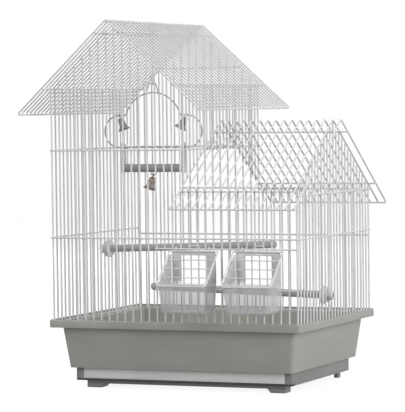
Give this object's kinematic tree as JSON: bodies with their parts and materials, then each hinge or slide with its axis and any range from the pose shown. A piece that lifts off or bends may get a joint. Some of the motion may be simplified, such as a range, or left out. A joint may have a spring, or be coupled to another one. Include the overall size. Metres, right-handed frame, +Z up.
{
  "type": "bird cage",
  "caption": "Wire bird cage with a tall gabled house beside a lower one, on a grey tub with a pull-out drawer, hinged feeder hoods, perches and a swing with bells.",
  "frame": {"origin": "on the floor under the middle of the whole cage", "axes": "+Z up, -Y towards the front with the feeders and the drawer, +X towards the low house"},
  "size_m": [0.4365, 0.4064, 0.5392],
  "materials": {
    "wire": "white enamel",
    "tub": "satin moulded grey",
    "plinth": "satin moulded grey",
    "drawer": "satin moulded pale grey",
    "cup": "clear moulded",
    "perch": "moulded grey",
    "stud": "plain",
    "washer": "pale moulded",
    "holder": "moulded pale grey",
    "swing_wire": "plain",
    "swing_perch": "moulded dark grey",
    "bell": "plated",
    "low_bell": "dull plated"
  },
  "bodies": {
    "cage": {"base_tub": "tub", "plinth": "plinth", "feet": "plinth", "front_panel": "wire", "back_panel": "wire", "left_panel": "wire", "right_panel": "wire", "upper_panel": "wire", "tall_roof": "wire", "low_roof": "wire", "left_cup": "cup", "right_cup": "cup", "upper_perch": "perch", "upper_perch_stud": "stud", "upper_perch_washer": "washer", "upper_perch_knob": "washer", "lower_perch": "perch", "lower_perch_stud": "stud", "lower_perch_washer": "washer", "lower_perch_knob": "washer", "swing_hanger": "wire"},
    "drawer": {"drawer": "drawer"},
    "left_hood": {"left_hood": "wire"},
    "right_hood": {"right_hood": "wire"},
    "swing": {"swing_frame": "swing_wire", "swing_holders": "holder", "swing_perch": "swing_perch", "bell_staple": "swing_wire"},
    "left_bell": {"left_bell": "bell"},
    "left_clapper": {"left_clapper": "bell"},
    "right_bell": {"right_bell": "bell"},
    "right_clapper": {"right_clapper": "bell"},
    "low_bell": {"low_bell": "low_bell"},
    "low_clapper": {"low_clapper": "bell"}
  },
  "joints": [
    {"name": "drawer_slide", "type": "slide", "parent": "cage", "child": "drawer", "axis": [0, -1, 0], "range_m": [0, 0.2]},
    {"name": "left_hood_hinge", "type": "hinge", "parent": "cage", "child": "left_hood", "pos_m": [0.049, -0.14849, 0.2075], "axis": [-1, 0, 0], "range_deg": [0, 80]},
    {"name": "right_hood_hinge", "type": "hinge", "parent": "cage", "child": "right_hood", "pos_m": [0.1477, -0.14849, 0.2075], "axis": [-1, 0, 0], "range_deg": [0, 80]},
    {"name": "swing_pivot", "type": "hinge", "parent": "cage", "child": "swing", "pos_m": [-0.07257, -0.01469, 0.446], "axis": [1, 0, 0], "range_deg": [-30, 30]},
    {"name": "left_bell_ring", "type": "hinge", "parent": "swing", "child": "left_bell", "pos_m": [-0.12757, -0.01469, 0.39867], "axis": [1, 0, 0], "range_deg": [-20, 20]},
    {"name": "left_clapper_pivot", "type": "hinge", "parent": "left_bell", "child": "left_clapper", "pos_m": [-0.1259, -0.01469, 0.39409], "axis": [1, 0, 0], "range_deg": [-10, 10]},
    {"name": "right_bell_ring", "type": "hinge", "parent": "swing", "child": "right_bell", "pos_m": [-0.01757, -0.01469, 0.39867], "axis": [1, 0, 0], "range_deg": [-20, 20]},
    {"name": "right_clapper_pivot", "type": "hinge", "parent": "right_bell", "child": "right_clapper", "pos_m": [-0.02001, -0.01469, 0.39444], "axis": [1, 0, 0], "range_deg": [-10, 10]},
    {"name": "low_bell_ring", "type": "hinge", "parent": "swing", "child": "low_bell", "pos_m": [-0.07257, -0.01469, 0.30987], "axis": [1, 0, 0], "range_deg": [-20, 20]},
    {"name": "low_clapper_pivot", "type": "hinge", "parent": "low_bell", "child": "low_clapper", "pos_m": [-0.07409, -0.01469, 0.30545], "axis": [1, 0, 0], "range_deg": [-10, 10]}
  ]
}
